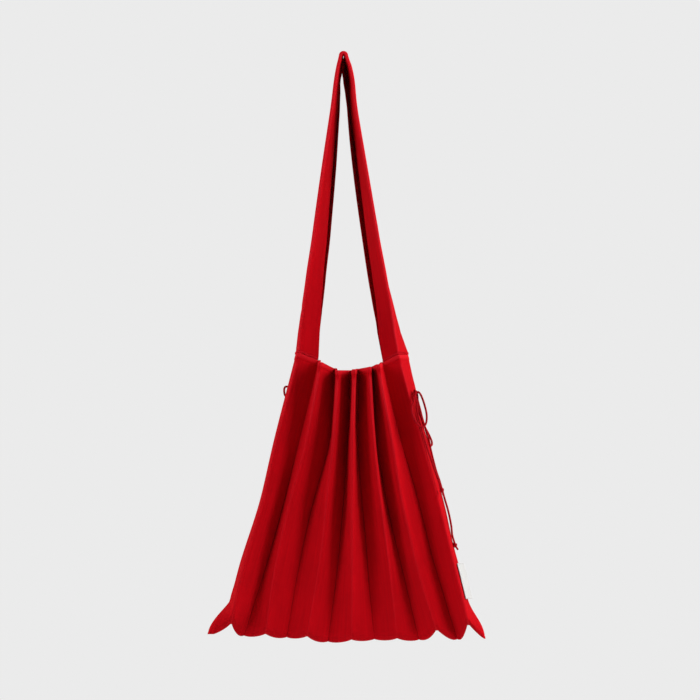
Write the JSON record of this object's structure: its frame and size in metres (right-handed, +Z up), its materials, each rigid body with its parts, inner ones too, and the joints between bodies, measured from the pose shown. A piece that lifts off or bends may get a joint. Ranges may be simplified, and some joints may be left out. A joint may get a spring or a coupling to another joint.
{
  "type": "accordion bag",
  "caption": "Accordion-pleated knit shoulder bag hanging by its wide strap, with a cord bow at each side and a woven side label.",
  "frame": {"origin": "where the bag hangs: in the bend of the strap, at the middle of the peg it goes over", "axes": "+Z up, the bag's front faces -Y, its width runs along X and its right side as seen from the front is +X"},
  "size_m": [0.3217, 0.088, 0.683],
  "materials": {
    "knit": "matte knit",
    "seam": "overlocked yarn",
    "cord": "braided cord",
    "label": "woven tape"
  },
  "bodies": {
    "root": {"body": "knit", "strap": "knit", "left_strap_seam": "seam", "right_strap_seam": "seam", "side_label": "label", "right_bow_knot": "cord", "right_round_loop": "cord", "right_long_loop": "cord", "right_long_tail": "cord", "right_long_tail_knot": "cord", "right_short_tail": "cord", "right_short_tail_knot": "cord", "left_bow_knot": "cord", "left_round_loop": "cord", "left_long_loop": "cord", "left_long_tail": "cord", "left_long_tail_knot": "cord", "left_short_tail": "cord", "left_short_tail_knot": "cord"}
  },
  "joints": []
}
